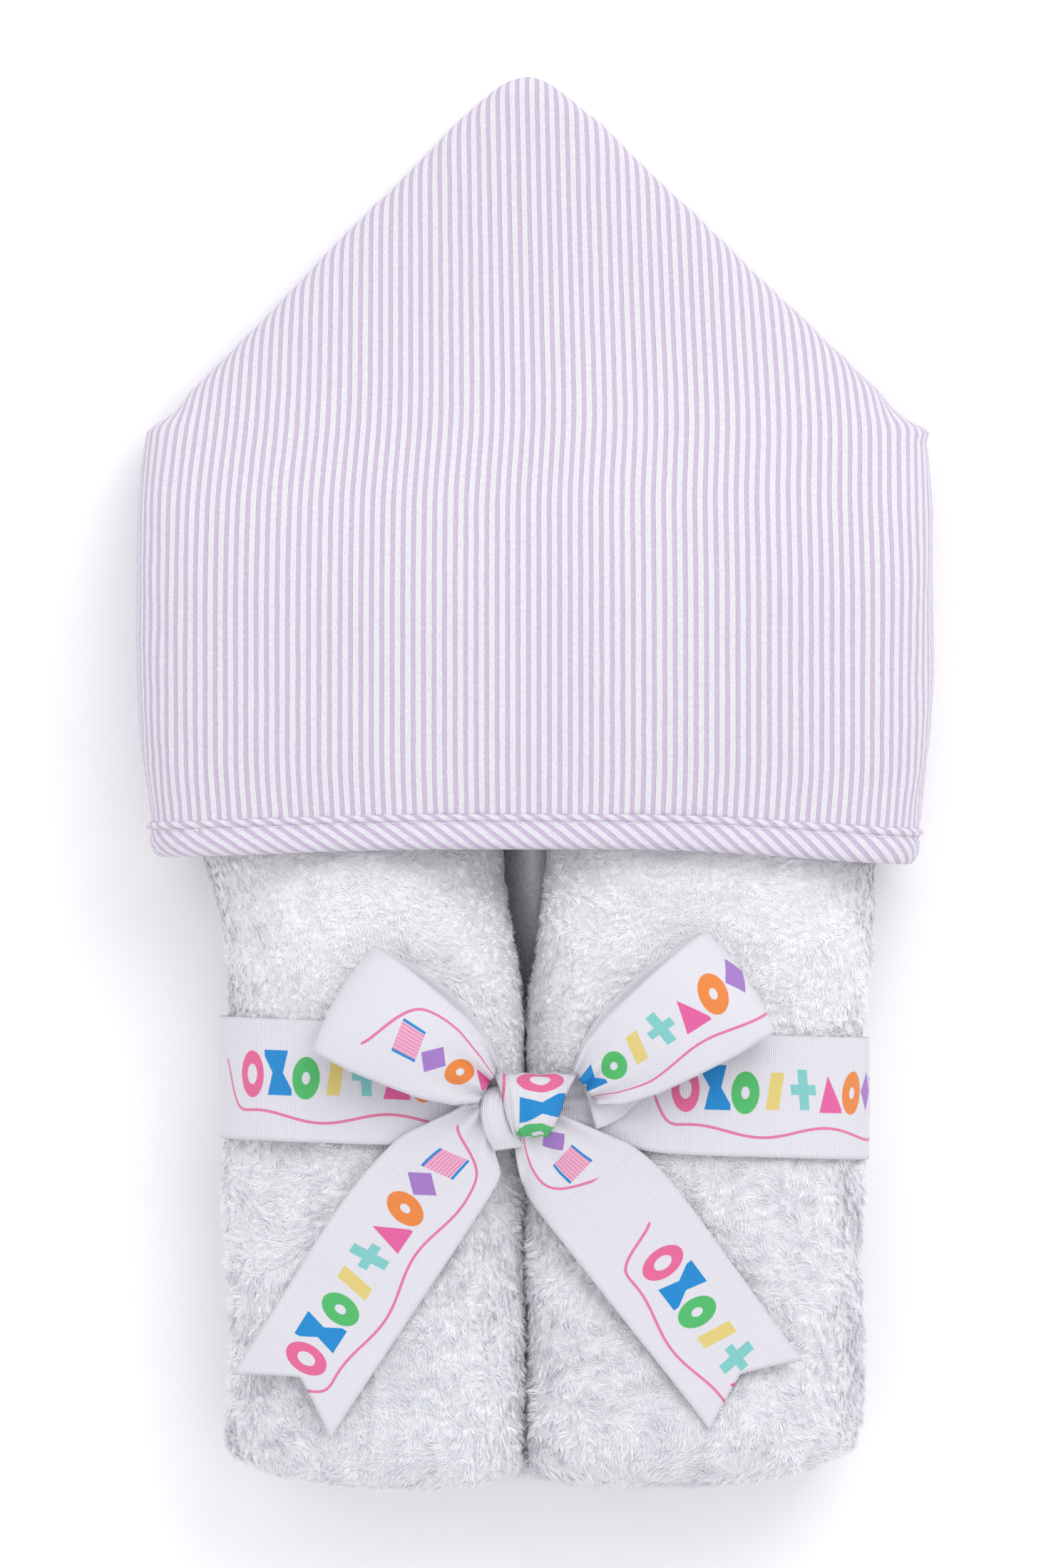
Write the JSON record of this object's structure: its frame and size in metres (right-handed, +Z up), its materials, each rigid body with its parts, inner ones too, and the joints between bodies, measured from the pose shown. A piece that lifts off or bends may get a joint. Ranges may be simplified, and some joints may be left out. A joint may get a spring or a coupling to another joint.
{
  "type": "hooded baby towel",
  "caption": "Terry baby towel with a striped hood, folded, rolled from both sides to the middle and tied with a ribbon bow; the hood opens and the ribbon slides off.",
  "frame": {"origin": "under the middle of the bundle, on the surface that it lies on", "axes": "+Y along the rolls to the peak of the hood, +X across them to the right as seen from above with the peak away from the viewer, +Z up out of the surface"},
  "size_m": [0.2486, 0.439, 0.0833],
  "materials": {
    "terry": "matte",
    "seersucker": "matte",
    "thread": "matte",
    "grosgrain": "satin"
  },
  "bodies": {
    "towel": {"towel_left_roll": "terry", "towel_right_roll": "terry", "towel_back_panel": "terry", "hood_outer_back": "seersucker", "hood_lining_back": "terry", "binding_left_end": "seersucker", "binding_right_end": "seersucker", "neck_seam": "terry", "hood_back_seam": "thread"},
    "hood_front": {"hood_outer_front": "seersucker", "hood_lining_front": "terry", "hood_binding": "seersucker", "binding_topstitch": "thread"},
    "ribbon": {"ribbon_band": "grosgrain", "ribbon_knot": "grosgrain"},
    "left_loop": {"bow_loop_left": "grosgrain"},
    "right_loop": {"bow_loop_right": "grosgrain"},
    "left_tail": {"bow_tail_left": "grosgrain"},
    "right_tail": {"bow_tail_right": "grosgrain"}
  },
  "joints": [
    {"name": "hood_open", "type": "hinge", "parent": "towel", "child": "hood_front", "pos_m": [0, 0.2213, 0.0056], "axis": [-1, 0, 0], "range_deg": [0, 24]},
    {"name": "ribbon_slide", "type": "slide", "parent": "towel", "child": "ribbon", "axis": [0, -1, 0], "range_m": [0, 0.16]},
    {"name": "left_loop_lift", "type": "hinge", "parent": "ribbon", "child": "left_loop", "pos_m": [-0.0134, -0.0942, 0.072], "axis": [0.5101, 0.8601, 0], "range_deg": [0, 60]},
    {"name": "right_loop_lift", "type": "hinge", "parent": "ribbon", "child": "right_loop", "pos_m": [0.0146, -0.0952, 0.072], "axis": [0.5662, -0.8243, 0], "range_deg": [0, 60]},
    {"name": "left_tail_lift", "type": "hinge", "parent": "ribbon", "child": "left_tail", "pos_m": [-0.0219, -0.1065, 0.0695], "axis": [-0.8398, 0.5429, 0], "range_deg": [0, 75]},
    {"name": "right_tail_lift", "type": "hinge", "parent": "ribbon", "child": "right_tail", "pos_m": [0.009, -0.1115, 0.0695], "axis": [-0.7983, -0.6022, 0], "range_deg": [0, 75]}
  ]
}
